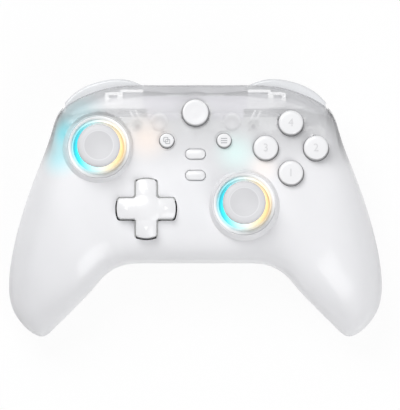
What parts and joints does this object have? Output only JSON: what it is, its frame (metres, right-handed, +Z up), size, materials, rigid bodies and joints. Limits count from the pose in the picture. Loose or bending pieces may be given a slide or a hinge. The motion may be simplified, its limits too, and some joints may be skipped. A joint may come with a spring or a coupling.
{
  "type": "gamepad controller",
  "caption": "Wireless gamepad with a frosted clear face, white grips, two sticks in lit rings, a cross pad, round face buttons, bumpers and triggers.",
  "frame": {"origin": "middle of the footprint, on the surface that the belly and the grips rest on", "axes": "+X to the player's right, +Y away from the player towards the bumpers, +Z up out of the face with the sticks"},
  "size_m": [0.155, 0.1057, 0.0572],
  "materials": {
    "frosted_shell": "frosted clear",
    "white_shell": "satin",
    "clear_white": "satin",
    "grey_cap": "satin",
    "ring_diffuser": "milky",
    "white_keys": "gloss",
    "key_rubber": "matte",
    "board": "satin",
    "small_electronics": "satin",
    "steel": "satin",
    "inner_plastic": "satin",
    "motor_can": "satin",
    "weight_steel": "satin",
    "battery_wrap": "satin",
    "lead_sleeve": "matte"
  },
  "bodies": {
    "body": {"battery": "battery_wrap", "battery_lead": "lead_sleeve", "board_screws": "steel", "bumper_switches": "small_electronics", "cross_key_mat": "key_rubber", "cross_post": "inner_plastic", "face_key_mat": "key_rubber", "front_shell": "frosted_shell", "inner_frame": "inner_plastic", "lamp_board_left": "board", "lamp_board_right": "board", "light_ring_left": "ring_diffuser", "light_ring_right": "ring_diffuser", "main_board": "board", "press_switches": "small_electronics", "rear_bridge": "white_shell", "rear_shell": "white_shell", "ring_lamps": "small_electronics", "rumble_motor_left": "motor_can", "rumble_motor_right": "motor_can", "shell_screws": "steel", "stick_collar_left": "white_shell", "stick_collar_right": "white_shell", "stick_housing_left": "inner_plastic", "stick_housing_right": "inner_plastic", "trigger_pins": "steel", "trigger_springs": "steel", "usb_socket": "steel"},
    "gimbal_left": {"gimbal_frame_left": "inner_plastic"},
    "sleeve_left": {"pivot_sleeve_left": "inner_plastic"},
    "stick_left": {"stick_stem_left": "inner_plastic", "stick_cap_left": "grey_cap"},
    "gimbal_right": {"gimbal_frame_right": "inner_plastic"},
    "sleeve_right": {"pivot_sleeve_right": "inner_plastic"},
    "stick_right": {"stick_stem_right": "inner_plastic", "stick_cap_right": "grey_cap"},
    "cross_ring": {"cross_rock_ring": "inner_plastic"},
    "cross": {"cross_pad": "white_keys"},
    "face_top": {"face_button_top": "white_keys"},
    "face_left": {"face_button_left": "white_keys"},
    "face_right": {"face_button_right": "white_keys"},
    "face_bottom": {"face_button_bottom": "white_keys"},
    "home_key": {"home_button": "white_keys"},
    "view_key": {"view_button": "white_keys"},
    "menu_key": {"menu_button": "white_keys"},
    "turbo_key": {"turbo_button": "white_keys"},
    "function_key": {"function_button": "white_keys"},
    "bumper_left_body": {"bumper_left": "clear_white"},
    "trigger_left_body": {"trigger_left": "clear_white"},
    "weight_left": {"rumble_weight_left": "weight_steel"},
    "bumper_right_body": {"bumper_right": "clear_white"},
    "trigger_right_body": {"trigger_right": "clear_white"},
    "weight_right": {"rumble_weight_right": "weight_steel"}
  },
  "joints": [
    {"name": "stick_left_pitch", "type": "hinge", "parent": "body", "child": "gimbal_left", "pos_m": [-0.03999, 0.0236, 0.036], "axis": [1, 0, 0], "range_deg": [-18, 18], "stiffness_Nm_per_rad": 0.03},
    {"name": "stick_left_roll", "type": "hinge", "parent": "gimbal_left", "child": "sleeve_left", "pos_m": [-0.03999, 0.0236, 0.036], "axis": [0, 1, 0], "range_deg": [-18, 18], "stiffness_Nm_per_rad": 0.03},
    {"name": "stick_left_click", "type": "slide", "parent": "sleeve_left", "child": "stick_left", "axis": [0, 0, 1], "range_m": [-0.0005, 0], "stiffness_N_per_m": 4000},
    {"name": "stick_right_pitch", "type": "hinge", "parent": "body", "child": "gimbal_right", "pos_m": [0.02023, 0, 0.036], "axis": [1, 0, 0], "range_deg": [-18, 18], "stiffness_Nm_per_rad": 0.03},
    {"name": "stick_right_roll", "type": "hinge", "parent": "gimbal_right", "child": "sleeve_right", "pos_m": [0.02023, 0, 0.036], "axis": [0, 1, 0], "range_deg": [-18, 18], "stiffness_Nm_per_rad": 0.03},
    {"name": "stick_right_click", "type": "slide", "parent": "sleeve_right", "child": "stick_right", "axis": [0, 0, 1], "range_m": [-0.0005, 0], "stiffness_N_per_m": 4000},
    {"name": "cross_rock_pitch", "type": "hinge", "parent": "body", "child": "cross_ring", "pos_m": [-0.02038, -0.0018, 0.042], "axis": [1, 0, 0], "range_deg": [-4.5, 4.5], "stiffness_Nm_per_rad": 0.08},
    {"name": "cross_rock_roll", "type": "hinge", "parent": "cross_ring", "child": "cross", "pos_m": [-0.02038, -0.0018, 0.042], "axis": [0, 1, 0], "range_deg": [-4.5, 4.5], "stiffness_Nm_per_rad": 0.08},
    {"name": "face_top_press", "type": "slide", "parent": "body", "child": "face_top", "axis": [0, 0, 1], "range_m": [-0.0012, 0], "stiffness_N_per_m": 500},
    {"name": "face_left_press", "type": "slide", "parent": "body", "child": "face_left", "axis": [0, 0, 1], "range_m": [-0.0012, 0], "stiffness_N_per_m": 500},
    {"name": "face_right_press", "type": "slide", "parent": "body", "child": "face_right", "axis": [0, 0, 1], "range_m": [-0.0012, 0], "stiffness_N_per_m": 500},
    {"name": "face_bottom_press", "type": "slide", "parent": "body", "child": "face_bottom", "axis": [0, 0, 1], "range_m": [-0.0012, 0], "stiffness_N_per_m": 500},
    {"name": "home_press", "type": "slide", "parent": "body", "child": "home_key", "axis": [0, 0, 1], "range_m": [-0.0008, 0], "stiffness_N_per_m": 900},
    {"name": "view_press", "type": "slide", "parent": "body", "child": "view_key", "axis": [0, 0, 1], "range_m": [-0.0008, 0], "stiffness_N_per_m": 900},
    {"name": "menu_press", "type": "slide", "parent": "body", "child": "menu_key", "axis": [0, 0, 1], "range_m": [-0.0008, 0], "stiffness_N_per_m": 900},
    {"name": "turbo_press", "type": "slide", "parent": "body", "child": "turbo_key", "axis": [0, 0, 1], "range_m": [-0.0008, 0], "stiffness_N_per_m": 900},
    {"name": "function_press", "type": "slide", "parent": "body", "child": "function_key", "axis": [0, 0, 1], "range_m": [-0.0008, 0], "stiffness_N_per_m": 900},
    {"name": "bumper_left_press", "type": "hinge", "parent": "body", "child": "bumper_left_body", "pos_m": [-0.02449, 0.04382, 0.032], "axis": [0, 0, 1], "range_deg": [0, 2.2], "stiffness_Nm_per_rad": 0.65},
    {"name": "trigger_left_pull", "type": "hinge", "parent": "body", "child": "trigger_left_body", "pos_m": [-0.03828, 0.04198, 0.0228], "axis": [0.9694, 0.2453, 0], "range_deg": [-16, 0], "stiffness_Nm_per_rad": 0.1},
    {"name": "weight_left_spin", "type": "hinge", "parent": "body", "child": "weight_left", "pos_m": [-0.06123, -0.02482, 0.0155], "axis": [1, 0, 0], "continuous": true},
    {"name": "bumper_right_press", "type": "hinge", "parent": "body", "child": "bumper_right_body", "pos_m": [0.02449, 0.04382, 0.032], "axis": [0, 0, 1], "range_deg": [-2.2, 0], "stiffness_Nm_per_rad": 0.65},
    {"name": "trigger_right_pull", "type": "hinge", "parent": "body", "child": "trigger_right_body", "pos_m": [0.03828, 0.04198, 0.0228], "axis": [0.9694, -0.2453, 0], "range_deg": [-16, 0], "stiffness_Nm_per_rad": 0.1},
    {"name": "weight_right_spin", "type": "hinge", "parent": "body", "child": "weight_right", "pos_m": [0.06123, -0.02482, 0.0155], "axis": [1, 0, 0], "continuous": true}
  ]
}
